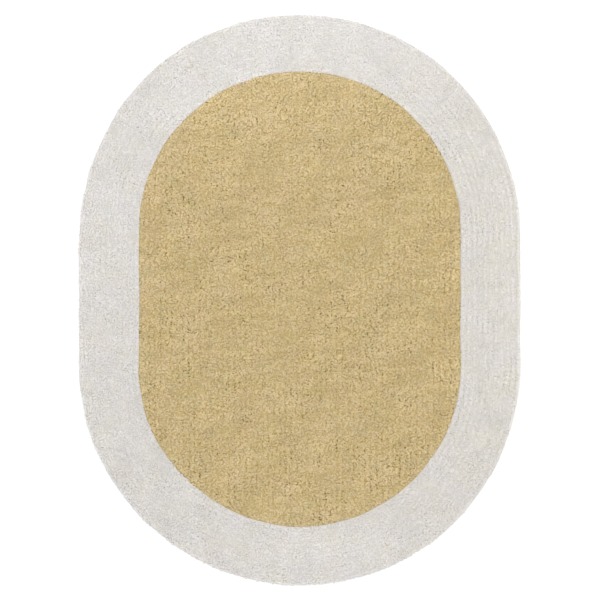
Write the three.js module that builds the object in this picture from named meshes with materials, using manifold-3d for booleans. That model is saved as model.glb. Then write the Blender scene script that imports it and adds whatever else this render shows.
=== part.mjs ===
// Oval tufted rug with a cream border and a mustard field, lying flat.
// Millimetres, +Z up. +Y is the rug's long axis, and the rug lies on z = 0 with its box centred on x = y = 0.
import * as THREE from "three";
import { mergeVertices } from "three/addons/utils/BufferGeometryUtils.js";
import Module from "manifold-3d";

const wasm = await Module();
wasm.setup();

// Driving dimensions

const RIM_RADIUS = 500; // half of the rug's width
const RIM_STRAIGHT = 146; // half of the rim's straight sides
const SEAM_RADIUS = 363.5; // the line where cream meets mustard
const SEAM_STRAIGHT = 151;
const SEAM_SHIFT = 2.5; // the field sits a little towards the top
const CLOTH_THICKNESS = 2.7;
const CLOTH_INSET = 7; // the pile reaches this far past the cloth's cut edge
const PILE_FOOT = 3; // height at which the pile starts
const PILE_TOP = 15; // height of the highest crest
const ROW_DEPTH = 1.1; // from the crest of a row down to the valley beside it
const LUMP = 0.7; // how far the pile's top swells and sinks
const BORDER_ROWS = 11;
const FIELD_PITCH = 12.85; // from one straight row of the field to the next
const PILE_GAP = 0.3; // between the two piles

// Mesh steps

const SIDE_STEPS = 8; // along each straight side
const END_STEPS = 48; // round each half circle
const LUMP_STEP = 74; // along a row of the field

// The rim of the pile from its foot up: distance inside the outline, and height.
const RIM_SECTION = [
  { inset: 5, height: PILE_FOOT },
  { inset: 1.6, height: 4.4 },
  { inset: 0, height: 7.8 },
  { inset: 0.9, height: 11.4 },
  { inset: 3.2, height: 13.6 },
];
// The edge of a pile at the seam from the top down: distance from the seam, and height.
const SEAM_SECTION = [
  { inset: 2.6, height: 13.4 },
  { inset: 0.6, height: 11.8 },
  { inset: 0, height: 9.6 },
];

// How far the rim and the seam stray outwards, at the hours of a clock face laid on the rug.
const STRAY = [
  { hour: 3, rim: 0.5, seam: -0.9 },
  { hour: 2, rim: -0.7, seam: 0.4 },
  { hour: 1, rim: 0.7, seam: 0.6 },
  { hour: 12, rim: -0.2, seam: -1.4 },
  { hour: 11, rim: 1.6, seam: 0 },
  { hour: 10, rim: -2.6, seam: 1.3 },
  { hour: 9, rim: 1.4, seam: -0.7 },
  { hour: 8, rim: 0.2, seam: 2.1 },
  { hour: 7, rim: -1.3, seam: -2.2 },
  { hour: 6, rim: 0.2, seam: 0.2 },
  { hour: 5, rim: 1.7, seam: -0.4 },
  { hour: 4, rim: -0.7, seam: 0.3 },
];
// Short waves on top of that, each so many times round the rug.
const RIPPLES = [
  { waves: 19, height: 0.35, start: 0.6 },
  { waves: 31, height: 0.3, start: 2.2 },
];

const { lerp, smoothstep } = THREE.MathUtils;

// Finishes

const finish = (color, roughness) => new THREE.MeshStandardMaterial({ color, roughness, metalness: 0 });
const CREAM_PILE = finish(0xdedad4, 0.95);
const MUSTARD_PILE = finish(0xc9b383, 0.95);
const COTTON_CANVAS = finish(0xd8cfbc, 0.9);

// How far the rim or the seam strays outwards at a turn from 0 to 1, counter-clockwise from three o'clock.
function stray(line, turn) {
  const place = turn * STRAY.length;
  const hour = Math.floor(place);
  const now = STRAY[hour % STRAY.length][line];
  const next = STRAY[(hour + 1) % STRAY.length][line];
  const ripples = RIPPLES.map((one) => one.height * Math.sin(2 * Math.PI * one.waves * turn + one.start));
  return lerp(now, next, smoothstep(place, hour, hour + 1)) + ripples.reduce((sum, height) => sum + height);
}

// The stations round a stadium, counter-clockwise from the middle of its right side, each with its point and
// its outward direction. All stadiums have as many stations, so that one faces its like on another.
function stadium(line, radius, straight, shift) {
  const angles = [];
  const heights = [];
  const side = (facing, from, to, steps) => {
    for (let k = 0; k < steps; k++) {
      angles.push(facing);
      heights.push(lerp(from, to, k / steps));
    }
  };
  const end = (facing, middle) => {
    for (let k = 0; k < END_STEPS; k++) {
      angles.push(facing + (Math.PI * k) / END_STEPS);
      heights.push(middle);
    }
  };
  side(0, 0, straight, SIDE_STEPS / 2);
  end(0, straight);
  side(Math.PI, straight, -straight, SIDE_STEPS);
  end(Math.PI, -straight);
  side(0, -straight, 0, SIDE_STEPS / 2);
  return angles.map((angle, k) => {
    const [nx, ny] = [Math.cos(angle), Math.sin(angle)];
    const reach = radius + stray(line, k / angles.length);
    return { x: reach * nx, y: shift + heights[k] + reach * ny, nx, ny };
  });
}

// The pile's top swells and sinks in soft patches a hand or so across.
function lump(x, y) {
  const broad = Math.sin(x / 47 + 1.3) * Math.sin(y / 61 + 0.4);
  const narrow = Math.sin(x / 29 - y / 37) * Math.cos(y / 23 + x / 53);
  return (LUMP / 2) * (broad + narrow);
}

// The height of the pile's top on a crest or in the valley between two rows.
function pileTop(x, y, onCrest) {
  return PILE_TOP - LUMP - (onCrest ? 0 : ROW_DEPTH) + lump(x, y);
}

// A closed body from rings with the same number of points, each ring joined to the next one. The last ring is
// joined to the first one, or with a plane given, the first and last rings are closed flat in it.
function ringed(rings, plane) {
  const count = rings[0].length;
  const index = [];
  rings.slice(0, plane ? -1 : undefined).forEach((ring, r) => {
    const low = r * count;
    const high = ((r + 1) % rings.length) * count;
    for (let k = 0; k < count; k++) {
      const next = (k + 1) % count;
      index.push(low + k, low + next, high + next);
      index.push(low + k, high + next, high + k);
    }
  });
  if (plane) {
    const lid = (ring) => THREE.ShapeUtils.triangulateShape(ring.map(plane), []);
    const last = (rings.length - 1) * count;
    lid(rings[0]).forEach(([a, b, c]) => index.push(a, c, b));
    lid(rings.at(-1)).forEach(([a, b, c]) => index.push(last + a, last + b, last + c));
  }
  return geometryOf(rings.flat(2), index);
}

function geometryOf(positions, index) {
  const geometry = new THREE.BufferGeometry();
  geometry.setAttribute("position", new THREE.Float32BufferAttribute(positions, 3));
  geometry.setIndex(index);
  return geometry;
}

function solidOf(geometry) {
  const vertProperties = geometry.attributes.position.array;
  const triVerts = new Uint32Array(geometry.index.array);
  return new wasm.Manifold(new wasm.Mesh({ numProp: 3, vertProperties, triVerts }));
}

function commonPart(one, other) {
  const { vertProperties, triVerts } = solidOf(one).intersect(solidOf(other)).getMesh();
  return geometryOf([...vertProperties], [...triVerts]);
}

function piece(name, geometry, material) {
  geometry.computeVertexNormals();
  const mesh = new THREE.Mesh(geometry, material);
  mesh.name = name;
  return mesh;
}

// Base cloth: a true stadium, cut a little inside the pile's rim.
function baseCloth() {
  const radius = RIM_RADIUS - CLOTH_INSET;
  const outline = new THREE.Shape();
  outline.absarc(0, RIM_STRAIGHT, radius, 0, Math.PI, false);
  outline.absarc(0, -RIM_STRAIGHT, radius, Math.PI, 2 * Math.PI, false);
  outline.closePath();
  const sheet = { depth: CLOTH_THICKNESS, bevelEnabled: false, curveSegments: END_STEPS };
  const geometry = new THREE.ExtrudeGeometry(outline, sheet);
  geometry.deleteAttribute("normal");
  geometry.deleteAttribute("uv");
  return piece("base_cloth", mergeVertices(geometry), COTTON_CANVAS);
}

// Border pile: rings from the rim to the seam, on the crest of each row and in the valley between two rows.
function borderPile(rim, seam) {
  const line = (share, outwards, height) =>
    rim.map((outer, k) => {
      const x = lerp(outer.x, seam[k].x, share) + outer.nx * outwards;
      const y = lerp(outer.y, seam[k].y, share) + outer.ny * outwards;
      return [x, y, height ?? 0];
    });
  const edge = RIM_SECTION.map(({ inset, height }) => line(0, -inset, height));
  const rows = [];
  for (let half = 1; half < 2 * BORDER_ROWS; half++) {
    const flat = line(half / (2 * BORDER_ROWS), 0);
    rows.push(flat.map(([x, y]) => [x, y, pileTop(x, y, half % 2 === 1)]));
  }
  const inside = SEAM_SECTION.map(({ inset, height }) => line(1, inset, height));
  return piece("border_pile", ringed([...edge, ...rows, ...inside, line(1, 0, PILE_FOOT)]), CREAM_PILE);
}

// A block larger than the field, with a straight crest along each row of stitches.
function rowBlock() {
  const margin = 20;
  const rows = Math.ceil((SEAM_RADIUS + margin) / FIELD_PITCH); // on either side of the middle one
  const reach = SEAM_RADIUS + SEAM_STRAIGHT + margin;
  const steps = Math.ceil((2 * reach) / LUMP_STEP);
  const sections = [];
  for (let step = 0; step <= steps; step++) {
    const y = lerp(-reach, reach, step / steps);
    const section = [];
    for (let half = -2 * rows; half <= 2 * rows; half++) {
      const x = (half * FIELD_PITCH) / 2;
      section.push([x, y, pileTop(x, y, half % 2 === 0)]);
    }
    section.push([rows * FIELD_PITCH, y, 0], [-rows * FIELD_PITCH, y, 0]);
    sections.push(section);
  }
  return ringed(sections, ([x, , z]) => new THREE.Vector2(-x, z));
}

// Field pile: the row block, cut to a shape that follows the seam and is rounded over along it.
function fieldPile(seam) {
  const ring = (inset, height) => seam.map(({ x, y, nx, ny }) => [x - nx * inset, y - ny * inset, height]);
  const edge = SEAM_SECTION.map(({ inset, height }) => ring(PILE_GAP + inset, height)).reverse();
  const shoulder = ring(12, PILE_TOP + 6); // above the crests, so that only the edge is cut
  const cut = ringed([ring(PILE_GAP, PILE_FOOT), ...edge, shoulder], ([x, y]) => new THREE.Vector2(x, y));
  return piece("field_pile", commonPart(rowBlock(), cut), MUSTARD_PILE);
}

const rim = stadium("rim", RIM_RADIUS, RIM_STRAIGHT, 0);
const seam = stadium("seam", SEAM_RADIUS, SEAM_STRAIGHT, SEAM_SHIFT);
const rug = new THREE.Group();
rug.add(baseCloth(), borderPile(rim, seam), fieldPile(seam));
const middle = new THREE.Box3().setFromObject(rug).getCenter(new THREE.Vector3());
rug.position.set(-middle.x, -middle.y, 0);

export default rug;
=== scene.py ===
"""Oval kids rug: cut cotton pile in cream and mustard, standing in one base cloth, seen from straight above.

Every length is in metres. +Y is the rug's long axis, and the rug lies on z = 0.
"""
import math

import bpy
import numpy as np
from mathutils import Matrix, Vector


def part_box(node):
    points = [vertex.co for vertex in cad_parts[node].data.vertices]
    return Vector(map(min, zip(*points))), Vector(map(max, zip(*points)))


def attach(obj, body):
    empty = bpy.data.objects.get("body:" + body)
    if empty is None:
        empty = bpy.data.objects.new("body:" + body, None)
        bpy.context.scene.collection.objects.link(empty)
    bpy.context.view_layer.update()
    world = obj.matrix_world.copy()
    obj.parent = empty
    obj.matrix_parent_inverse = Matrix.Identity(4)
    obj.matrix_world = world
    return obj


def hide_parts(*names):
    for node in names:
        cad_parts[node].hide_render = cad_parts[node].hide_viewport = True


bl_info = {
    "name": "Oval Kids Rug",
    "version": (1, 0, 0),
    "blender": (4, 5, 0),
    "location": "View3D > Sidebar > Rug",
    "description": "Builds an oval tufted rug, yarn end by yarn end, and the studio round it",
    "category": "Object",
}

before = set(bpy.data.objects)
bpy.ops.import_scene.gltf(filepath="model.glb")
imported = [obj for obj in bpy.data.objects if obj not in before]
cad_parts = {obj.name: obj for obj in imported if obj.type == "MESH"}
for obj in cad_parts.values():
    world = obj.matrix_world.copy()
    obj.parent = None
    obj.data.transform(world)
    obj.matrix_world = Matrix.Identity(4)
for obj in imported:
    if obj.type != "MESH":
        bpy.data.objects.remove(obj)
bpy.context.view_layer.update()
CLOTH_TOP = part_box("base_cloth")[1][2]
PILE_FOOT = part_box("border_pile")[0][2]
PILE_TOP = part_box("border_pile")[1][2]

MM = 0.001

# How far the rim and the seam stray outwards, at the hours of a clock face laid on the rug.
STRAY = (
    {"hour": 3, "rim": 0.5 * MM, "seam": -0.9 * MM},
    {"hour": 2, "rim": -0.7 * MM, "seam": 0.4 * MM},
    {"hour": 1, "rim": 0.7 * MM, "seam": 0.6 * MM},
    {"hour": 12, "rim": -0.2 * MM, "seam": -1.4 * MM},
    {"hour": 11, "rim": 1.6 * MM, "seam": 0.0},
    {"hour": 10, "rim": -2.6 * MM, "seam": 1.3 * MM},
    {"hour": 9, "rim": 1.4 * MM, "seam": -0.7 * MM},
    {"hour": 8, "rim": 0.2 * MM, "seam": 2.1 * MM},
    {"hour": 7, "rim": -1.3 * MM, "seam": -2.2 * MM},
    {"hour": 6, "rim": 0.2 * MM, "seam": 0.2 * MM},
    {"hour": 5, "rim": 1.7 * MM, "seam": -0.4 * MM},
    {"hour": 4, "rim": -0.7 * MM, "seam": 0.3 * MM},
)
# Short waves on top of that, each so many times round the rug.
RIPPLES = (
    {"waves": 19, "height": 0.35 * MM, "start": 0.6},
    {"waves": 31, "height": 0.30 * MM, "start": 2.2},
)
# Steps along each straight side and round each half circle, as in the solids.
SIDE_STEPS = 8
END_STEPS = 48
STATIONS = 2 * (SIDE_STEPS + END_STEPS)
# Once round a stadium from three o'clock: the share of the way round at each corner between a side and an
# end, the way that it faces there, and how far up the straight side it is.
CORNER_TURNS = np.cumsum([0, SIDE_STEPS / 2, END_STEPS, SIDE_STEPS, END_STEPS, SIDE_STEPS / 2]) / STATIONS
CORNER_FACINGS = np.array([0, 0, 1, 1, 2, 2]) * math.pi
CORNER_HEIGHTS = np.array([0, 1, 1, -1, -1, 0])
# Points round a flat disc that follows a line of the rug.
DISC_POINTS = 2 * STATIONS


class RugSizes(bpy.types.PropertyGroup):
    rim_radius: bpy.props.FloatProperty(
        name="Rim radius", description="Half of the rug's width", default=0.5, unit="LENGTH"
    )
    rim_straight: bpy.props.FloatProperty(
        name="Rim straight", description="Half of the rim's straight sides", default=0.146, unit="LENGTH"
    )
    seam_radius: bpy.props.FloatProperty(
        name="Seam radius", description="Half of the mustard field's width", default=0.3635, unit="LENGTH"
    )
    seam_straight: bpy.props.FloatProperty(
        name="Seam straight", description="Half of the seam's straight sides", default=0.151, unit="LENGTH"
    )
    seam_shift: bpy.props.FloatProperty(
        name="Seam shift", description="How far the field sits towards the top", default=0.0025, unit="LENGTH"
    )
    cloth_inset: bpy.props.FloatProperty(
        name="Cloth inset",
        description="How far the pile reaches past the cloth",
        default=0.007,
        unit="LENGTH",
    )


class PileSettings(bpy.types.PropertyGroup):
    border_rows: bpy.props.IntProperty(
        name="Border rows", description="Rows of stitches from the rim to the seam", default=11
    )
    field_pitch: bpy.props.FloatProperty(
        name="Field row pitch",
        description="From one straight row to the next",
        default=0.01285,
        unit="LENGTH",
    )
    stitch: bpy.props.FloatProperty(
        name="Stitch", description="From one yarn end to the next along a row", default=0.00405, unit="LENGTH"
    )
    border_yarn: bpy.props.FloatProperty(
        name="Border yarn", description="How wide a cream yarn end opens", default=0.0050, unit="LENGTH"
    )
    field_yarn: bpy.props.FloatProperty(
        name="Field yarn", description="How wide a mustard yarn end opens", default=0.0052, unit="LENGTH"
    )
    border_bed: bpy.props.FloatProperty(
        name="Border bed",
        description="Height up to which the border is packed solid",
        default=0.0115,
        unit="LENGTH",
    )
    field_bed: bpy.props.FloatProperty(
        name="Field bed",
        description="Height up to which the field is packed solid",
        default=0.0110,
        unit="LENGTH",
    )
    border_lean: bpy.props.FloatProperty(
        name="Border lean", description="How far a cream yarn end flops over", default=0.0036, unit="LENGTH"
    )
    field_lean: bpy.props.FloatProperty(
        name="Field lean", description="How far a mustard yarn end flops over", default=0.0055, unit="LENGTH"
    )
    uneven: bpy.props.FloatProperty(
        name="Uneven", description="How much the yarn ends differ in length", default=0.16
    )
    short: bpy.props.FloatProperty(
        name="Short", description="Share of yarn ends that are cut short", default=0.08
    )
    wander: bpy.props.FloatProperty(
        name="Wander", description="How far the stitches stray from their row", default=0.0008, unit="LENGTH"
    )
    seed: bpy.props.IntProperty(name="Seed", description="Changes how the yarn ends fall", default=7)


class RugColours(bpy.types.PropertyGroup):
    cream: bpy.props.FloatVectorProperty(
        name="Cream", description="Yarn of the border", default=(0.600, 0.582, 0.561), subtype="COLOR"
    )
    # Painted shade: the cream yarn's colour low down, darker and deeper than its own, for the shade among the
    # yarn ends.
    cream_root_shade: bpy.props.FloatVectorProperty(
        name="Cream root",
        description="The same yarn low down",
        default=(0.576, 0.552, 0.519),
        subtype="COLOR",
    )
    mustard: bpy.props.FloatVectorProperty(
        name="Mustard", description="Yarn of the field", default=(0.523, 0.426, 0.241), subtype="COLOR"
    )
    # Painted shade: the mustard yarn's colour low down, darker and deeper than its own, for the shade among the
    # yarn ends.
    mustard_root_shade: bpy.props.FloatVectorProperty(
        name="Mustard root",
        description="The same yarn low down",
        default=(0.463, 0.348, 0.159),
        subtype="COLOR",
    )
    canvas: bpy.props.FloatVectorProperty(
        name="Canvas", description="Base cloth", default=(0.62, 0.55, 0.43), subtype="COLOR"
    )
    floor: bpy.props.FloatVectorProperty(
        name="Floor", description="Studio floor", default=(0.9, 0.9, 0.9), subtype="COLOR"
    )


# The rug's lines

# How finely the seam is sampled where the distance to it is measured, and for how many points at a time.
SEAM_SAMPLES = 1400
POINTS_AT_A_TIME = 2000


def stray(line, turn):
    """How far the rim or the seam strays outwards, at a share of the way round from three o'clock."""
    values = np.array([row[line] for row in STRAY])
    place = (turn % 1) * len(STRAY)
    hour = place.astype(int) % len(STRAY)
    part = place - np.floor(place)
    ease = part * part * (3 - 2 * part)
    smooth = values[hour] * (1 - ease) + values[(hour + 1) % len(STRAY)] * ease
    waves = [row["height"] * np.sin(2 * math.pi * row["waves"] * turn + row["start"]) for row in RIPPLES]
    return smooth + sum(waves)


def stadium(line, turn, radius, straight, shift):
    """Points of a stadium that strays, and the way that it faces at each."""
    facing = np.interp(turn, CORNER_TURNS, CORNER_FACINGS)
    height = np.interp(turn, CORNER_TURNS, CORNER_HEIGHTS)
    out = np.stack([np.cos(facing), np.sin(facing)], axis=1)
    reach = radius + stray(line, turn)
    middle = np.stack([0 * turn, shift + straight * height], axis=1)
    return middle + out * reach[:, None], out


def rug_line(share, turn):
    """Points of the line at a share of the way from the rim to the seam, and the way that it faces.

    The rug's box is centred, as the solids' is.
    """
    sizes = bpy.context.scene.rug_sizes
    rim, out = stadium("rim", turn, sizes.rim_radius, sizes.rim_straight, 0)
    seam, _ = stadium("seam", turn, sizes.seam_radius, sizes.seam_straight, sizes.seam_shift)
    every, _ = stadium("rim", np.linspace(0, 1, STATIONS + 1), sizes.rim_radius, sizes.rim_straight, 0)
    middle = (every.min(axis=0) + every.max(axis=0)) / 2
    return rim * (1 - share) + seam * share - middle, out


def even_turns(share, spacing, start):
    """Turns that lie a spacing apart along such a line."""
    sizes = bpy.context.scene.rug_sizes
    radius = sizes.rim_radius + share * (sizes.seam_radius - sizes.rim_radius)
    straight = sizes.rim_straight + share * (sizes.seam_straight - sizes.rim_straight)
    end = math.pi * radius
    along = np.cumsum([0, straight, end, 2 * straight, end, straight])
    count = round(along[-1] / spacing)
    places = (np.arange(count) + start) / count * along[-1]
    return np.interp(places, along, CORNER_TURNS)


def inside_seam(points):
    """How far inside the seam each point lies, and the way that the nearest stretch of the seam faces."""
    turns = np.linspace(0, 1, SEAM_SAMPLES, endpoint=False)
    seam, out = rug_line(1, turns)
    found = np.empty(len(points))
    facing = np.empty((len(points), 2))
    for first in range(0, len(points), POINTS_AT_A_TIME):
        some = slice(first, first + POINTS_AT_A_TIME)
        apart = points[some, None] - seam[None]
        near = (apart**2).sum(axis=2).argmin(axis=1)
        facing[some] = out[near]
        found[some] = -((points[some] - seam[near]) * out[near]).sum(axis=1)
    return found, facing


# Where the yarn ends stand and how they fall

# Each stitch is three yarns thick, and its ends stand side by side across the row, this far apart.
BORDER_SPREAD = 3.1 * MM
FIELD_SPREAD = 3.8 * MM
# How far inside the rim the outermost stitches stand at least.
RIM_ROOTS = 4.8 * MM
# How far inside the seam the three yarns of the row along it stand, and where the straight rows begin.
SEAM_ROW = np.array([3.0, 6.6, 10.2]) * MM
STRAIGHT_ROWS = 0.012
# The tips stay this far inside the rim and off the seam, give or take a ragged edge.
RIM_MARGIN = 3.0 * MM
RIM_RAGGED = 0.4 * MM
SEAM_MARGIN = 1.6 * MM
SEAM_RAGGED = 0.6 * MM
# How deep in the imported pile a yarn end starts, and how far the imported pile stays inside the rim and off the
# seam.
SUNK = 0.001
PACKED_INSET = 0.0045
PACKED_GAP = 0.0001
# Two rows of short yarn ends under the rim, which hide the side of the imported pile: how far inside the rim
# and how high they start, and how far they lean out.
SKIRT = (
    {"inset": 5.6 * MM, "height": 3.4 * MM, "lean": 2.2 * MM},
    {"inset": 6.4 * MM, "height": 6.0 * MM, "lean": 3.4 * MM},
)
SKIRT_LENGTHS = (3.0, 5.0)  # in millimetres
SKIRT_STRAY = 0.8 * MM

# The border's rows show most on the side that faces this way, and less the further the rug turns from it.
SHARP_SIDE = (0.99, 0.14)
SHARP_POWER = 4
# There the yarns stray less from their row, stand closer to its middle and lean less across it, and, as painted
# light and shade, the yarn in the middle is painted paler and the yarns beside it darker.
SHARP_STEADY = 0.6
SHARP_CLOSING = 0.15
SHARP_STRAIGHT = 0.35
SHARP_LIGHT_AND_SHADE = 0.07
CREST_LIGHT_AND_SIDE_SHADE = (0.67, -0.33)
# How much less the border's yarns lean across their row than along it, all round.
STRAIGHT = 0.15
# The field's rows are faintest at this place and show more away from it, where their yarns stand closer.
FAINT_PLACE = (0, 0.25)
FAINT_REACH = (0.36, 0.6)
FAINT_CORE = 0.25
FIELD_CLOSING = 0.2
# The field's yarn ends stray this much of the usual way from their rows.
FIELD_STRAY = 0.6

# Yarn ends lean alike in patches and within a tuft, and each in its own way, as shares of the usual lean.
PATCH_LEAN = 0.25
PATCH_WAVES = (0.06, 0.25)
TUFT_LEAN = 0.4
TUFT_WAVES = (0.014, 0.03)
OWN_LEAN = (0.1, 1.6)
# How much more the rows wander than a single stitch strays.
ROW_WANDER = 1.2
ROW_WAVES = (0.02, 0.09)
# How open the pile is: as a rule, how much it varies, between what limits, and over what lengths. Where it is
# open, more yarn ends are cut short, to this share of their length.
OPEN_USUAL = 0.8
OPEN_SPREAD = 0.5
OPEN_LIMITS = (0.2, 1.6)
OPEN_WAVES = (0.03, 0.18)
SHORT_LENGTH = 0.2

# How much the yarn ends differ in tone, each by itself and in patches, and over what lengths.
CREAM_TONE = {"own": 0.03, "patches": 0.012, "waves": (0.05, 0.2)}
MUSTARD_TONE = {"own": 0.045, "patches": 0.03, "waves": (0.03, 0.15)}
# Painted light: patches where the pile is painted paler, for more light on it there: the middle of each patch,
# how far it reaches, and how much paler it is there.
PAINTED_LIGHT_PATCHES = (
    {"place": (-0.14, 0.44), "reach": (0.17, 0.09), "paler": 0.06},
    {"place": (0.05, -0.55), "reach": (0.14, 0.04), "paler": 0.06},
    {"place": (-0.43, 0.22), "reach": (0.09, 0.14), "paler": 0.035},
)


def flow(points, rng, shortest, longest, count=14):
    """A smooth random field with two values a point, each about 1 in size, made of long waves."""
    found = np.zeros((len(points), 2))
    for _ in range(count):
        angle = rng.uniform(0, 2 * math.pi)
        length = rng.uniform(shortest, longest)
        wave = points @ np.array([math.cos(angle), math.sin(angle)]) * 2 * math.pi / length
        found += rng.normal(0, 1, 2) * np.sin(wave + rng.uniform(0, 2 * math.pi))[:, None]
    return found * math.sqrt(2 / count)


def rows_round(shares, stitch, rng):
    """Roots of yarn ends on lines that follow the outline, and the way each line faces."""
    roots, outs, lines = [], [], []
    for share in shares:
        turn = even_turns(share, stitch, rng.uniform(0, 1))
        points, out = rug_line(share, turn)
        roots.append(points)
        outs.append(out)
        lines.append(np.full(len(points), share))
    return np.concatenate(roots), np.concatenate(outs), np.concatenate(lines)


def rows_straight(pitch, stitch, inset, rng):
    """Roots of yarn ends in straight rows that fill the field."""
    sizes = bpy.context.scene.rug_sizes
    reach = sizes.seam_straight + sizes.seam_radius
    most = int(sizes.seam_radius / pitch) + 1
    roots = []
    for row in range(-most, most + 1):
        for side in (-FIELD_SPREAD, 0, FIELD_SPREAD):
            y = np.arange(-reach, reach, stitch) + rng.uniform(0, stitch)
            roots.append(np.stack([np.full(len(y), row * pitch + side), y], axis=1))
    roots = np.concatenate(roots)
    depth, _ = inside_seam(roots)
    return roots[depth > inset]


def fallen(roots, rng, reach):
    """The way each yarn end flops over: neighbours lean alike in patches, and each also has its own way."""
    patches = PATCH_LEAN * flow(roots, rng, *PATCH_WAVES)
    tufts = TUFT_LEAN * flow(roots, rng, *TUFT_WAVES, count=40)
    angle = rng.uniform(0, 2 * math.pi, len(roots))
    length = rng.uniform(*OWN_LEAN, len(roots))
    own = np.stack([np.cos(angle), np.sin(angle)], axis=1) * length[:, None]
    return reach * (own + tufts + patches)


def strayed(roots, rng, settings):
    """The roots a little off their rows: the rows wander, and so does each stitch in them."""
    rows = ROW_WANDER * flow(roots, rng, *ROW_WAVES, count=20)
    return roots + settings.wander * (rows + rng.normal(0, 1, roots.shape))


def uneven(roots, rng, settings):
    """Each yarn end's length as a share of the usual one: in open patches more of them are cut short."""
    patches = flow(roots, rng, *OPEN_WAVES, count=30)[:, 0]
    open_pile = (OPEN_USUAL + OPEN_SPREAD * patches).clip(*OPEN_LIMITS)
    share = 1 + settings.uneven * open_pile * rng.normal(0, 1, len(roots)).clip(-2, 1.5)
    short = rng.uniform(0, 1, len(roots)) < settings.short * open_pile**2
    return np.where(short, SHORT_LENGTH, share)


def paler(roots):
    """How much paler than the rest each yarn end is painted, as painted light for where it stands."""
    found = np.zeros(len(roots))
    for patch in PAINTED_LIGHT_PATCHES:
        apart = (roots - patch["place"]) / patch["reach"]
        found += patch["paler"] * np.exp(-(apart**2).sum(axis=1))
    return found


def tones(roots, rng, tone):
    """How much paler or deeper each yarn end is: by itself and in patches, and painted paler as painted light
    for where it stands.
    """
    own = tone["own"] * rng.normal(0, 1, len(roots))
    patches = tone["patches"] * flow(roots, rng, *tone["waves"])[:, 0]
    return own + patches + paler(roots)


def held_back(lean, outs, room, rng, ragged):
    """Keeps the tips from reaching further that way than there is room, give or take a ragged edge."""
    reach = (lean * outs).sum(axis=1)
    most = room + ragged * rng.normal(0, 1, len(lean)).clip(-2, 2)
    return lean - outs * np.maximum(reach - most, 0)[:, None]


# Modelling helpers


def deselect():
    if bpy.context.mode != "OBJECT":
        bpy.ops.object.mode_set(mode="OBJECT")
    bpy.ops.object.select_all(action="DESELECT")


def added(name):
    """The object that the last operator added, named."""
    made = bpy.context.active_object
    made.name = name
    made.data.name = name
    return made


def remove(obj):
    mesh = obj.data
    bpy.data.objects.remove(obj)
    bpy.data.meshes.remove(mesh)


def outline_disc(name, share, inset):
    """A flat disc whose edge follows a line of the rug, a little inside it."""
    deselect()
    bpy.ops.mesh.primitive_circle_add(vertices=DISC_POINTS, radius=1, fill_type="NGON", calc_uvs=False)
    disc = added(name)
    turn = np.arange(DISC_POINTS) / DISC_POINTS
    points, out = rug_line(share, turn)
    corners = np.zeros((DISC_POINTS, 3))
    corners[:, :2] = points - out * inset
    disc.data.vertices.foreach_set("co", corners.ravel())
    disc.data.update()
    return disc


def raised(obj, foot, height):
    """Gives a flat mesh its thickness, from foot up, with its faces pointing outwards."""
    deselect()
    obj.select_set(True)
    bpy.context.view_layer.objects.active = obj
    bpy.ops.object.mode_set(mode="EDIT")
    bpy.ops.mesh.select_all(action="SELECT")
    bpy.ops.transform.translate(value=(0, 0, foot))
    bpy.ops.mesh.extrude_region_move(TRANSFORM_OT_translate={"value": (0, 0, height)})
    bpy.ops.mesh.select_all(action="SELECT")
    bpy.ops.mesh.normals_make_consistent(inside=False)
    bpy.ops.object.mode_set(mode="OBJECT")


def rounded(obj, width):
    bevel = obj.modifiers.new("Rounded edge", "BEVEL")
    bevel.width = width
    bevel.segments = 2
    bevel.limit_method = "ANGLE"
    bevel.angle_limit = math.radians(50)
    bpy.context.view_layer.objects.active = obj
    bpy.ops.object.modifier_apply(modifier=bevel.name)
    bpy.ops.object.shade_smooth_by_angle(angle=math.radians(40))


# A single yarn end, modelled once


YARN_SIDES = 4
# From the root up: height as a share of the yarn's length, and width as a share of its widest.
YARN_SECTION = (
    {"along": 0.0, "width": 0.85},
    {"along": 0.72, "width": 1.0},
)
# Where its sides, tip and root lie in its square of the UV map: how high up, and the margin beside each side.
UV_SIDES_FROM = 0.02
UV_SIDES_HIGH = 0.76
UV_TIP = 0.93
UV_ROOT = 0.97
UV_ROOT_WIDE = 0.4
UV_ROOT_HIGH = 0.02
UV_MARGIN = 0.03
# A height so small that it counts as none.
NEAR = 0.001


def yarn_end():
    """A cut yarn end, one long and one in half width, that opens towards its soft, domed tip."""
    deselect()
    root = YARN_SECTION[0]
    bpy.ops.mesh.primitive_circle_add(
        vertices=YARN_SIDES, radius=root["width"], fill_type="NGON", calc_uvs=False
    )
    yarn = added("yarn_end")
    bpy.ops.object.mode_set(mode="EDIT")
    bpy.ops.mesh.select_all(action="SELECT")
    for low, high in zip(YARN_SECTION, YARN_SECTION[1:]):
        rise = high["along"] - low["along"]
        bpy.ops.mesh.extrude_region_move(TRANSFORM_OT_translate={"value": (0, 0, rise)})
        grow = high["width"] / low["width"]
        bpy.ops.transform.resize(value=(grow, grow, 1), center_override=(0, 0, high["along"]))
    bpy.ops.mesh.poke(offset=1 - YARN_SECTION[-1]["along"])
    bpy.ops.mesh.select_all(action="SELECT")
    bpy.ops.mesh.normals_make_consistent(inside=False)
    bpy.ops.object.mode_set(mode="OBJECT")
    bpy.ops.object.shade_smooth()
    mesh = yarn.data
    heights = np.empty(len(mesh.vertices) * 3)
    mesh.vertices.foreach_get("co", heights)
    along = mesh.attributes.new("along", "FLOAT", "POINT")
    along.data.foreach_set("value", heights[2::3].clip(0, 1))
    lay_out_yarn(mesh)
    return yarn


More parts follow.
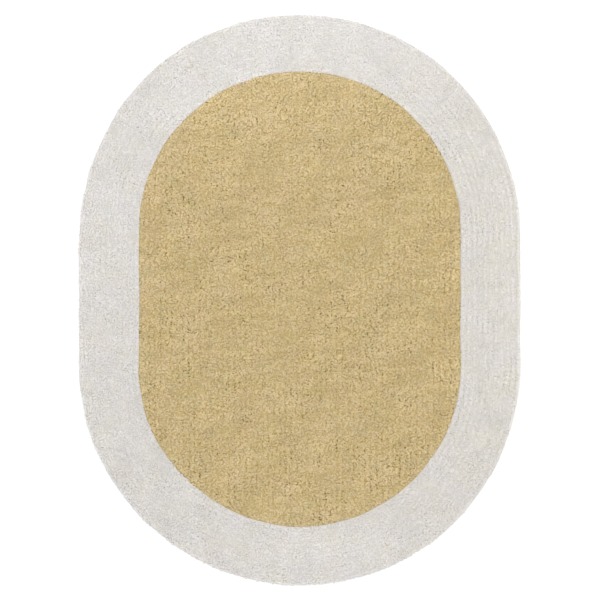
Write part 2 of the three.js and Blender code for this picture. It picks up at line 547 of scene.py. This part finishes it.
def lay_out_yarn(mesh):
    """Unrolls the yarn end into a square: its sides side by side, its tip above them and its root on top."""
    layer = mesh.uv_layers.new(name="OFBake")
    body = YARN_SECTION[-1]["along"]
    first = mesh.vertices[0].co

    def turned(place):
        angle = math.atan2(place.y, place.x) - math.atan2(first.y, first.x)
        return angle / (2 * math.pi) * YARN_SIDES % YARN_SIDES

    for face in mesh.polygons:
        side = math.floor(turned(face.center))
        for corner, index in zip(face.loop_indices, face.vertices):
            place = mesh.vertices[index].co
            if face.center.z < NEAR:
                layer.uv[corner].vector = (0.5 + UV_ROOT_WIDE * place.x, UV_ROOT + UV_ROOT_HIGH * place.y)
            elif place.z > body + NEAR:
                layer.uv[corner].vector = ((side + 0.5) / YARN_SIDES, UV_TIP)
            else:
                step = round(turned(place) - side) % YARN_SIDES
                across = side + UV_MARGIN + (1 - 2 * UV_MARGIN) * step
                up = UV_SIDES_FROM + UV_SIDES_HIGH * place.z / body
                layer.uv[corner].vector = (across / YARN_SIDES, up)


# Planting the yarn ends with geometry nodes

# A yarn end's lean is partly a tilt and partly a bend, which grows as this power of the way up.
TILT = 0.4
BEND = 0.6
BEND_POWER = 2
# A bent yarn end sinks by this share of what its bend takes off its height, up to a share of its length.
SINK = 0.8
MOST_SINK = 0.35
# How much the yarn ends differ in width, and the narrowest and widest, as shares of the usual width.
WIDTH_SPREAD = 0.09
WIDTH_LIMITS = (0.75, 1.25)


def planting_tree(yarn, material):
    """Nodes that stand a copy of the yarn end on each point, bend it and give it its cell of the UV map."""
    tree = bpy.data.node_groups.new("Plant yarn ends", "GeometryNodeTree")
    tree.interface.new_socket("Geometry", in_out="INPUT", socket_type="NodeSocketGeometry")
    tree.interface.new_socket("Geometry", in_out="OUTPUT", socket_type="NodeSocketGeometry")

    def attribute(name, kind):
        node = tree.nodes.new("GeometryNodeInputNamedAttribute")
        node.data_type = kind
        node.inputs["Name"].default_value = name
        return node.outputs["Attribute"]

    def maths(operation, first, second):
        node = tree.nodes.new("ShaderNodeVectorMath")
        node.operation = operation
        tree.links.new(first, node.inputs[0])
        tree.links.new(second, node.inputs["Scale" if operation == "SCALE" else 1])
        return node.outputs["Vector"]

    points = tree.nodes.new("NodeGroupInput")
    source = tree.nodes.new("GeometryNodeObjectInfo")
    source.inputs["Object"].default_value = yarn
    turned = tree.nodes.new("FunctionNodeEulerToRotation")
    tree.links.new(attribute("turned", "FLOAT_VECTOR"), turned.inputs["Euler"])
    stand = tree.nodes.new("GeometryNodeInstanceOnPoints")
    tree.links.new(points.outputs[0], stand.inputs["Points"])
    tree.links.new(source.outputs["Geometry"], stand.inputs["Instance"])
    tree.links.new(turned.outputs["Rotation"], stand.inputs["Rotation"])
    tree.links.new(attribute("size", "FLOAT_VECTOR"), stand.inputs["Scale"])
    real = tree.nodes.new("GeometryNodeRealizeInstances")
    tree.links.new(stand.outputs["Instances"], real.inputs["Geometry"])
    droop = tree.nodes.new("ShaderNodeMath")
    droop.operation = "POWER"
    droop.inputs[1].default_value = BEND_POWER
    tree.links.new(attribute("along", "FLOAT"), droop.inputs[0])
    bend = tree.nodes.new("GeometryNodeSetPosition")
    tree.links.new(real.outputs["Geometry"], bend.inputs["Geometry"])
    tree.links.new(maths("SCALE", attribute("bend", "FLOAT_VECTOR"), droop.outputs[0]), bend.inputs["Offset"])
    cell = maths("MULTIPLY", attribute("OFBake", "FLOAT_VECTOR"), attribute("cell_size", "FLOAT_VECTOR"))
    layout = tree.nodes.new("GeometryNodeStoreNamedAttribute")
    layout.data_type = "FLOAT2"
    layout.domain = "CORNER"
    layout.inputs["Name"].default_value = "OFBake"
    tree.links.new(bend.outputs["Geometry"], layout.inputs["Geometry"])
    tree.links.new(maths("ADD", cell, attribute("cell", "FLOAT_VECTOR")), layout.inputs["Value"])
    wear = tree.nodes.new("GeometryNodeSetMaterial")
    wear.inputs["Material"].default_value = material
    tree.links.new(layout.outputs["Geometry"], wear.inputs["Geometry"])
    result = tree.nodes.new("NodeGroupOutput")
    tree.links.new(wear.outputs["Geometry"], result.inputs[0])
    return tree


def plant_thirds(names, along, tufts, width, rng, material, node_name):
    """Plants the yarn ends as three pieces of like size, from those that lie least far along to the most."""
    low, high = np.quantile(along, [1 / 3, 2 / 3])
    thirds = (along < low, (along >= low) & (along < high), along >= high)
    for name, chosen in zip(names, thirds):
        pile = plant(name, *(one[chosen] for one in tufts), width, rng, material)
        finish_piece(pile, node_name)


def plant(name, roots, heights, lengths, lean, tone, width, rng, material):
    """Stands a yarn end on each root as one mesh. lean is how far its tip lies to the side."""
    count = len(roots)
    mesh = bpy.data.meshes.new(name)
    mesh.from_pydata(np.column_stack([roots, heights]).tolist(), [], [])
    sideways = np.hypot(*lean.T)
    tilt = np.arctan2(TILT * sideways, lengths)
    spin = rng.uniform(0, math.pi, count)
    toward = np.arctan2(lean[:, 1], lean[:, 0]) - spin
    droop = np.minimum(SINK * sideways**2 / (2 * lengths), MOST_SINK * lengths)
    radius = width / 2 * rng.normal(1, WIDTH_SPREAD, count).clip(*WIDTH_LIMITS)
    across = math.ceil(math.sqrt(count))
    cell = np.arange(count)
    fields = {
        "turned": np.column_stack([-tilt * np.sin(toward), tilt * np.cos(toward), spin]),
        "size": np.column_stack([radius, radius, lengths]),
        "bend": np.column_stack([BEND * lean, -droop]),
        "cell": np.column_stack([cell % across, cell // across, 0 * cell]) / across,
        "cell_size": np.full((count, 3), 1 / across),
    }
    for field, values in fields.items():
        mesh.attributes.new(field, "FLOAT_VECTOR", "POINT").data.foreach_set("vector", values.ravel())
    mesh.attributes.new("tone", "FLOAT", "POINT").data.foreach_set("value", tone)
    pile = bpy.data.objects.new(name, mesh)
    bpy.context.collection.objects.link(pile)
    yarn = yarn_end()
    planting = pile.modifiers.new("Plant yarn ends", "NODES")
    planting.node_group = planting_tree(yarn, material)
    deselect()
    pile.select_set(True)
    bpy.context.view_layer.objects.active = pile
    bpy.ops.object.modifier_apply(modifier=planting.name)
    remove(yarn)
    for field in fields:
        pile.data.attributes.remove(pile.data.attributes[field])
    return pile


# Shader node helpers


def node(tree, kind, inputs=None, **settings):
    made = tree.nodes.new(kind)
    for key, value in settings.items():
        setattr(made, key, value)
    for key, value in (inputs or {}).items():
        if isinstance(value, bpy.types.NodeSocket):
            tree.links.new(value, made.inputs[key])
        else:
            made.inputs[key].default_value = value
    return made


def maths(tree, operation, *values):
    made = node(tree, "ShaderNodeMath", operation=operation)
    for place, value in enumerate(values):
        if isinstance(value, bpy.types.NodeSocket):
            tree.links.new(value, made.inputs[place])
        else:
            made.inputs[place].default_value = value
    return made.outputs[0]


def shader_group(name, inputs, outputs):
    tree = bpy.data.node_groups.new(name, "ShaderNodeTree")
    for label, kind, value in inputs:
        socket = tree.interface.new_socket(label, in_out="INPUT", socket_type=kind)
        socket.default_value = value
    for label, kind in outputs:
        tree.interface.new_socket(label, in_out="OUTPUT", socket_type=kind)
    return tree, tree.nodes.new("NodeGroupInput").outputs, tree.nodes.new("NodeGroupOutput").inputs


def cotton_yarn_group():
    """Colour and fuzz of dyed cotton yarn: painted deeper towards the root as shade among the yarn ends, each
    end its own tone with painted light and shade added for where it stands, in soft patches.

    The pit shade is painted shade: small dark spots for the hollows between yarn ends, more of them where the
    pile stands open. Heather makes some places warmer and some cooler, and with Fading above 1 the paler yarn is
    also the greyer one, and the darker places, painted shade among them, the more saturated.
    """
    tree, given, put = shader_group(
        "Cotton yarn",
        [
            ("Colour", "NodeSocketColor", (0.5, 0.5, 0.5, 1)),
            ("Root shade colour", "NodeSocketColor", (0.3, 0.3, 0.3, 1)),
            ("Patches", "NodeSocketFloat", 0.05),
            ("Fibres", "NodeSocketFloat", 0.1),
            ("Pit shade", "NodeSocketFloat", 0.0),
            ("Heather", "NodeSocketFloat", 0.1),
            ("Fading", "NodeSocketFloat", 1.0),
        ],
        [("Colour", "NodeSocketColor"), ("Height", "NodeSocketFloat")],
    )
    place = node(tree, "ShaderNodeTexCoord").outputs["Object"]
    along = node(tree, "ShaderNodeAttribute", attribute_name="along").outputs["Fac"]
    # The tone holds each end's own tone, and also painted light and shade for where it stands.
    tone = node(tree, "ShaderNodeAttribute", attribute_name="tone").outputs["Fac"]
    broad = node(tree, "ShaderNodeTexNoise", {"Vector": place, "Scale": 16, "Detail": 2}).outputs["Fac"]
    fine = node(tree, "ShaderNodeTexNoise", {"Vector": place, "Scale": 250, "Detail": 0}).outputs["Fac"]
    fibre = node(tree, "ShaderNodeTexNoise", {"Vector": place, "Scale": 400, "Detail": 2}).outputs["Fac"]
    patch = maths(tree, "MULTIPLY", maths(tree, "SUBTRACT", broad, 0.5), given["Patches"])
    fuzz = maths(tree, "MULTIPLY", maths(tree, "SUBTRACT", fibre, 0.5), given["Fibres"])
    soft = maths(tree, "ADD", maths(tree, "ADD", 1.0, tone), maths(tree, "ADD", patch, fuzz))
    # Painted shade: small dark spots for the hollows between yarn ends, more where the pile stands open.
    hollow = node(tree, "ShaderNodeMapRange", {"Value": fine, "From Min": 0.53, "From Max": 0.64})
    opened = node(tree, "ShaderNodeMapRange", {"Value": broad, "From Min": 0.35, "From Max": 0.65})
    pit_shade = maths(tree, "MULTIPLY", hollow.outputs["Result"], opened.outputs["Result"])
    light = maths(tree, "SUBTRACT", soft, maths(tree, "MULTIPLY", pit_shade, given["Pit shade"]))
    blue = maths(tree, "POWER", light, given["Fading"])
    faded = node(tree, "ShaderNodeCombineXYZ", {0: light, 1: light, 2: blue})
    dye = node(tree, "ShaderNodeTexNoise", {"Vector": place, "Scale": 26, "Detail": 1}).outputs["Color"]
    drift = node(tree, "ShaderNodeVectorMath", {0: dye, 1: (0.5, 0.5, 0.5)}, operation="SUBTRACT")
    lean = node(tree, "ShaderNodeVectorMath", {0: drift.outputs[0], 1: (0.35, 0, 1)}, operation="MULTIPLY")
    heather = node(tree, "ShaderNodeVectorMath", {0: lean.outputs[0]}, operation="SCALE")
    tree.links.new(given["Heather"], heather.inputs["Scale"])
    tint = node(tree, "ShaderNodeVectorMath", {0: heather.outputs[0], 1: (1, 1, 1)}, operation="ADD")
    lit = node(tree, "ShaderNodeVectorMath", {0: tint.outputs[0], 1: faded.outputs[0]}, operation="MULTIPLY")
    # Painted shade: the colour goes over to the darker root shade colour low down among the yarn ends.
    up = maths(tree, "POWER", along, 0.7)
    body = node(tree, "ShaderNodeMix", data_type="RGBA")
    tree.links.new(up, body.inputs["Factor"])
    tree.links.new(given["Root shade colour"], body.inputs[6])
    tree.links.new(given["Colour"], body.inputs[7])
    shaded = node(tree, "ShaderNodeVectorMath", {0: body.outputs[2], 1: lit.outputs[0]}, operation="MULTIPLY")
    tree.links.new(shaded.outputs["Vector"], put["Colour"])
    tree.links.new(fibre, put["Height"])
    return tree


# How the yarn of each pile looks, and how dark the painted pit shade is where it is packed.
CREAM_YARN = {"Patches": 0.06, "Fibres": 0.5, "Heather": 0.11, "Fading": 1}
CREAM_PIT_SHADE = 0.36
MUSTARD_YARN = {"Patches": 0.08, "Fibres": 1.2, "Heather": 0.2, "Fading": 1.35}
MUSTARD_PIT_SHADE = 0.7


def pile_material(name, colour, root_shade_colour, look, pit_shade=0):
    material = bpy.data.materials.new(name)
    material.use_nodes = True
    tree = material.node_tree
    surface = tree.nodes["Principled BSDF"]
    yarn = node(tree, "ShaderNodeGroup")
    yarn.node_tree = bpy.data.node_groups.get("Cotton yarn") or cotton_yarn_group()
    yarn.inputs["Colour"].default_value = (*colour, 1)
    yarn.inputs["Root shade colour"].default_value = (*root_shade_colour, 1)
    for label, value in look.items():
        yarn.inputs[label].default_value = value
    yarn.inputs["Pit shade"].default_value = pit_shade
    relief = {"Height": yarn.outputs["Height"], "Strength": 0.5, "Distance": 0.0004}
    bump = node(tree, "ShaderNodeBump", relief)
    tree.links.new(yarn.outputs["Colour"], surface.inputs["Base Color"])
    tree.links.new(bump.outputs["Normal"], surface.inputs["Normal"])
    surface.inputs["Roughness"].default_value = 0.92
    surface.inputs["Specular IOR Level"].default_value = 0.2
    surface.inputs["Sheen Weight"].default_value = 0.03
    surface.inputs["Sheen Roughness"].default_value = 0.6
    return material


def canvas_weave_group():
    """Plain weave: threads that pass over and under each other by turns."""
    tree, given, put = shader_group(
        "Canvas weave",
        [("Colour", "NodeSocketColor", (0.5, 0.5, 0.5, 1)), ("Threads", "NodeSocketFloat", 600.0)],
        [("Colour", "NodeSocketColor"), ("Height", "NodeSocketFloat")],
    )
    place = node(tree, "ShaderNodeTexCoord").outputs["Object"]
    wobble = node(tree, "ShaderNodeTexNoise", {"Vector": place, "Scale": 90, "Detail": 1}).outputs["Fac"]
    parts = node(tree, "ShaderNodeSeparateXYZ", {0: place})
    drift = maths(tree, "MULTIPLY", wobble, 0.8)
    rises = []
    cells = []
    for axis, across in (("X", "Y"), ("Y", "X")):
        thread = maths(tree, "MULTIPLY_ADD", parts.outputs[axis], given["Threads"], drift)
        other = maths(tree, "MULTIPLY_ADD", parts.outputs[across], given["Threads"], drift)
        shift = 0.0 if axis == "X" else 1.0
        half = maths(tree, "MULTIPLY", maths(tree, "ADD", maths(tree, "FLOOR", thread), shift), 0.5)
        phase = maths(tree, "ADD", maths(tree, "MULTIPLY", other, 0.5), half)
        lift = maths(tree, "SINE", maths(tree, "MULTIPLY", phase, 2 * math.pi))
        round_top = maths(tree, "ABSOLUTE", maths(tree, "SINE", maths(tree, "MULTIPLY", thread, math.pi)))
        rises.append(maths(tree, "MULTIPLY", round_top, maths(tree, "MULTIPLY_ADD", lift, 0.35, 0.6)))
        cells.append(maths(tree, "FLOOR", thread))
    height = maths(tree, "MAXIMUM", *rises)
    spot = node(tree, "ShaderNodeCombineXYZ", {0: cells[0], 1: cells[1]})
    slub = node(tree, "ShaderNodeTexWhiteNoise", {"Vector": spot.outputs[0]}, noise_dimensions="2D")
    thread_tone = maths(tree, "MULTIPLY", slub.outputs["Value"], 0.12)
    # Partly painted shade: the weave is painted darker where its threads dip, and each thread also has its own
    # tone.
    light = maths(tree, "ADD", maths(tree, "MULTIPLY_ADD", height, 0.5, 0.55), thread_tone)
    shaded = node(tree, "ShaderNodeVectorMath", {0: given["Colour"]}, operation="SCALE")
    tree.links.new(light, shaded.inputs["Scale"])
    tree.links.new(shaded.outputs["Vector"], put["Colour"])
    tree.links.new(height, put["Height"])
    return tree


def canvas_material(colour):
    material = bpy.data.materials.new("Natural cotton canvas")
    material.use_nodes = True
    tree = material.node_tree
    surface = tree.nodes["Principled BSDF"]
    weave = node(tree, "ShaderNodeGroup")
    weave.node_tree = canvas_weave_group()
    weave.inputs["Colour"].default_value = (*colour, 1)
    weave.inputs["Threads"].default_value = 520
    relief = {"Height": weave.outputs["Height"], "Strength": 0.6, "Distance": 0.0005}
    bump = node(tree, "ShaderNodeBump", relief)
    tree.links.new(weave.outputs["Colour"], surface.inputs["Base Color"])
    tree.links.new(bump.outputs["Normal"], surface.inputs["Normal"])
    surface.inputs["Roughness"].default_value = 0.9
    surface.inputs["Specular IOR Level"].default_value = 0.2
    return material


# The pieces

CLOTH_EDGE_ROUNDING = 0.0006


def finish_piece(piece, node_name):
    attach(piece, "root")
    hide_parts(node_name)


class RUG_OT_base_cloth(bpy.types.Operator):
    """Lay the flat cotton cloth that carries the pile"""

    bl_idname = "rug.base_cloth"
    bl_label = "Base Cloth"

    def execute(self, context):
        sizes = context.scene.rug_sizes
        cloth = outline_disc("cotton_base_cloth", 0, sizes.cloth_inset)
        raised(cloth, 0, CLOTH_TOP)
        rounded(cloth, CLOTH_EDGE_ROUNDING)
        cloth.data.materials.append(canvas_material(context.scene.rug_colours.canvas))
        finish_piece(cloth, "base_cloth")
        return {"FINISHED"}


class RUG_OT_border_pile(bpy.types.Operator):
    """Tuft the cream border in rows that run round with the outline"""

    bl_idname = "rug.border_pile"
    bl_label = "Border Pile"

    def execute(self, context):
        settings = context.scene.rug_pile
        colours = context.scene.rug_colours
        # root is the painted root shade colour: the yarn painted darker low down, as shade among the yarn ends.
        root = colours.cream_root_shade
        material = pile_material("Cream cotton pile", colours.cream, root, CREAM_YARN)
        self.packed(settings, pile_material("Packed cream yarn in painted shade", root, root, CREAM_YARN, CREAM_PIT_SHADE))
        rng = np.random.default_rng(settings.seed)
        width = context.scene.rug_sizes.rim_radius - context.scene.rug_sizes.seam_radius
        middles = (np.arange(settings.border_rows) + 0.5) / settings.border_rows * width
        insets = np.sort(np.concatenate([middles - BORDER_SPREAD, middles, middles + BORDER_SPREAD]))
        insets[0] = max(insets[0], RIM_ROOTS)
        roots, outs, share = rows_round(insets / width, settings.stitch, rng)
        inset = share * width
        beside = inset - middles[np.abs(inset[:, None] - middles).argmin(axis=1)]
        sharp = (outs @ SHARP_SIDE).clip(0, 1) ** SHARP_POWER
        astray = 1 - SHARP_STEADY * sharp[:, None]
        roots += astray * (strayed(roots, rng, settings) - roots)
        roots += outs * (SHARP_CLOSING * sharp * beside)[:, None]
        lean = fallen(roots, rng, settings.border_lean)
        lean -= outs * ((STRAIGHT + SHARP_STRAIGHT * sharp) * (lean * outs).sum(axis=1))[:, None]
        lean = held_back(lean, outs, inset - RIM_MARGIN, rng, RIM_RAGGED)
        lean = held_back(lean, -outs, width - inset - SEAM_MARGIN, rng, SEAM_RAGGED)
        foot = settings.border_bed - SUNK
        heights = np.full(len(roots), foot)
        lengths = (PILE_TOP - foot) * uneven(roots, rng, settings)
        skirt = self.skirt(settings, width, rng)
        tufts = [np.concatenate(both) for both in zip((roots, heights, lengths, lean), skirt)]
        inset = np.concatenate([inset, np.zeros(len(skirt[0]))])
        tone = tones(tufts[0], rng, CREAM_TONE)
        # Painted light and shade across each border row: the middle yarn paler, the yarns beside it darker, most
        # on the sharp side.
        crest_light_side_shade = np.where(np.abs(beside) < BORDER_SPREAD / 2, *CREST_LIGHT_AND_SIDE_SHADE)
        tone[: len(sharp)] += SHARP_LIGHT_AND_SHADE * sharp * crest_light_side_shade
        names = ("border_outer_rows", "border_middle_rows", "border_inner_rows")
        yarn = settings.border_yarn
        plant_thirds(names, inset, (*tufts, tone), yarn, rng, material, "border_pile")
        return {"FINISHED"}

    def skirt(self, settings, width, rng):
        """Roots, heights, lengths and lean of the short yarn ends under the rim."""
        lower, upper = SKIRT
        shares = np.array([lower["inset"], upper["inset"]]) / width
        roots, facing, _ = rows_round(shares, settings.stitch, rng)
        low = np.arange(len(roots)) < len(roots) / 2
        heights = np.where(low, lower["height"], upper["height"])
        lengths = rng.uniform(*SKIRT_LENGTHS, len(roots)) * MM
        lean = np.where(low, lower["lean"], upper["lean"])[:, None] * facing
        lean += SKIRT_STRAY * rng.normal(0, 1, (len(roots), 2)).clip(-2, 1)
        return roots, heights, lengths, lean

    def packed(self, settings, material):
        """The ring of packed yarn that shows between the yarn ends, painted all in the darker root shade colour
        with painted pit shade.
        """
        ring = outline_disc("border_packed_pile", 0, PACKED_INSET)
        hole = outline_disc("hole", 1, -PACKED_GAP)
        for loop in (ring, hole):
            deselect()
            loop.select_set(True)
            bpy.context.view_layer.objects.active = loop
            bpy.ops.object.mode_set(mode="EDIT")
            bpy.ops.mesh.select_all(action="SELECT")
            bpy.ops.mesh.delete(type="ONLY_FACE")
            bpy.ops.object.mode_set(mode="OBJECT")
        ring.select_set(True)
        hole.select_set(True)
        bpy.context.view_layer.objects.active = ring
        bpy.ops.object.join()
        bpy.ops.object.mode_set(mode="EDIT")
        bpy.ops.mesh.select_all(action="SELECT")
        bpy.ops.mesh.bridge_edge_loops()
        bpy.ops.object.mode_set(mode="OBJECT")
        raised(ring, PILE_FOOT, settings.border_bed - PILE_FOOT)
        ring.data.materials.append(material)
        finish_piece(ring, "border_pile")


class RUG_OT_field_pile(bpy.types.Operator):
    """Tuft the mustard field: one row along the seam, then straight rows"""

    bl_idname = "rug.field_pile"
    bl_label = "Field Pile"

    def execute(self, context):
        settings = context.scene.rug_pile
        colours = context.scene.rug_colours
        # root is the painted root shade colour: the yarn painted darker low down, as shade among the yarn ends.
        root = colours.mustard_root_shade
        material = pile_material("Mustard cotton pile", colours.mustard, root, MUSTARD_YARN)
        bed = outline_disc("field_packed_pile", 1, PACKED_GAP)
        raised(bed, PILE_FOOT, settings.field_bed - PILE_FOOT)
        # The packed pile is painted all in the root shade colour, with painted pit shade, as the shade among the
        # yarn ends.
        packed = pile_material("Packed mustard yarn in painted shade", root, root, MUSTARD_YARN, MUSTARD_PIT_SHADE)
        bed.data.materials.append(packed)
        finish_piece(bed, "field_pile")
        rng = np.random.default_rng(settings.seed + 1)
        width = context.scene.rug_sizes.rim_radius - context.scene.rug_sizes.seam_radius
        edge, _, _ = rows_round(1 + SEAM_ROW / width, settings.stitch, rng)
        middle = rows_straight(settings.field_pitch, settings.stitch, STRAIGHT_ROWS, rng)
        away = np.hypot(*((middle - FAINT_PLACE) / FAINT_REACH).T)
        beside = middle[:, 0] - settings.field_pitch * np.round(middle[:, 0] / settings.field_pitch)
        middle[:, 0] -= FIELD_CLOSING * (away - FAINT_CORE).clip(0, 1) * beside
        roots = np.concatenate([edge, middle])
        roots += FIELD_STRAY * (strayed(roots, rng, settings) - roots)
        depth, outs = inside_seam(roots)
        lean = fallen(roots, rng, settings.field_lean)
        lean = held_back(lean, outs, depth - SEAM_MARGIN, rng, SEAM_RAGGED)
        foot = settings.field_bed - SUNK
        heights = np.full(len(roots), foot)
        lengths = (PILE_TOP - foot) * uneven(roots, rng, settings)
        tufts = (roots, heights, lengths, lean, tones(roots, rng, MUSTARD_TONE))
        names = ("field_left_rows", "field_middle_rows", "field_right_rows")
        yarn = settings.field_yarn
        plant_thirds(names, roots[:, 0], tufts, yarn, rng, material, "field_pile")
        return {"FINISHED"}


# The studio

# The soft lights, which all face straight down: one over the whole rug, and one over each side of it.
LIGHTS = (
    {"side": "key", "place": (0.2, 0.2, 2.6), "size": (2.4, 2.4), "watts": 19.4, "tint": (1, 1, 0.88)},
    {"side": "top", "place": (0, 0.8, 0.7), "size": (0.6, 0.4), "watts": 2.2, "tint": (0.89, 0.9, 1)},
    {"side": "bottom", "place": (0, -0.8, 0.7), "size": (0.6, 0.4), "watts": 1.18, "tint": (0.89, 0.88, 1)},
    {"side": "left", "place": (-0.8, 0, 0.8), "size": (0.4, 1.0), "watts": 1.98, "tint": (0.88, 0.88, 1)},
    {"side": "right", "place": (0.8, 0, 0.8), "size": (0.4, 1.0), "watts": 1.78, "tint": (1, 0.94, 0.88)},
)
# Straight above the rug, a hair off its middle, and so high that the rug fills most of the picture.
CAMERA_PLACE = (0.00056, 0.00027, 7.54)


class RUG_OT_studio(bpy.types.Operator):
    """Set the pale floor, the soft lights and the camera straight above"""

    bl_idname = "rug.studio"
    bl_label = "Studio"

    def execute(self, context):
        scene = context.scene
        deselect()
        bpy.ops.mesh.primitive_plane_add(size=14)
        floor = added("floor")
        paint = bpy.data.materials.new("Pale floor")
        paint.use_nodes = True
        surface = paint.node_tree.nodes["Principled BSDF"]
        surface.inputs["Base Color"].default_value = (*scene.rug_colours.floor, 1)
        surface.inputs["Roughness"].default_value = 0.9
        surface.inputs["Specular IOR Level"].default_value = 0.1
        floor.data.materials.append(paint)
        world = scene.world or bpy.data.worlds.new("Studio")
        scene.world = world
        world.use_nodes = True
        world.node_tree.nodes["Background"].inputs["Color"].default_value = (1, 1, 1, 1)
        world.node_tree.nodes["Background"].inputs["Strength"].default_value = 1.05
        for one in LIGHTS:
            bpy.ops.object.light_add(type="AREA", location=one["place"])
            light = added(f"{one['side']} light")
            light.data.shape = "ELLIPSE"
            light.data.size, light.data.size_y = one["size"]
            light.data.energy = one["watts"]
            light.data.color = one["tint"]
            light.visible_camera = False
        bpy.ops.object.camera_add(location=CAMERA_PLACE)
        camera = added("camera")
        camera.data.lens = 200
        camera.data.sensor_width = 36
        camera.data.clip_end = 50
        scene.camera = camera
        scene.view_settings.view_transform = "Standard"
        return {"FINISHED"}


class RUG_PT_panel(bpy.types.Panel):
    """The rug's operators, in the order in which they run"""

    bl_label = "Oval Kids Rug"
    bl_idname = "RUG_PT_panel"
    bl_space_type = "VIEW_3D"
    bl_region_type = "UI"
    bl_category = "Rug"

    def draw(self, context):
        for piece in OPERATORS:
            self.layout.operator(piece.bl_idname)
        for group in ("rug_sizes", "rug_pile", "rug_colours"):
            settings = getattr(context.scene, group)
            for name in settings.__annotations__:
                self.layout.prop(settings, name)


OPERATORS = (RUG_OT_base_cloth, RUG_OT_border_pile, RUG_OT_field_pile, RUG_OT_studio)
GROUPS = {"rug_sizes": RugSizes, "rug_pile": PileSettings, "rug_colours": RugColours}


def register():
    for one in (*GROUPS.values(), *OPERATORS, RUG_PT_panel):
        bpy.utils.register_class(one)
    for name, group in GROUPS.items():
        setattr(bpy.types.Scene, name, bpy.props.PointerProperty(type=group))


def unregister():
    for name in GROUPS:
        delattr(bpy.types.Scene, name)
    for one in (*GROUPS.values(), *OPERATORS, RUG_PT_panel):
        bpy.utils.unregister_class(one)


def main():
    register()
    bpy.ops.rug.base_cloth()
    bpy.ops.rug.border_pile()
    bpy.ops.rug.field_pile()
    bpy.ops.rug.studio()


if __name__ == "__main__":
    main()
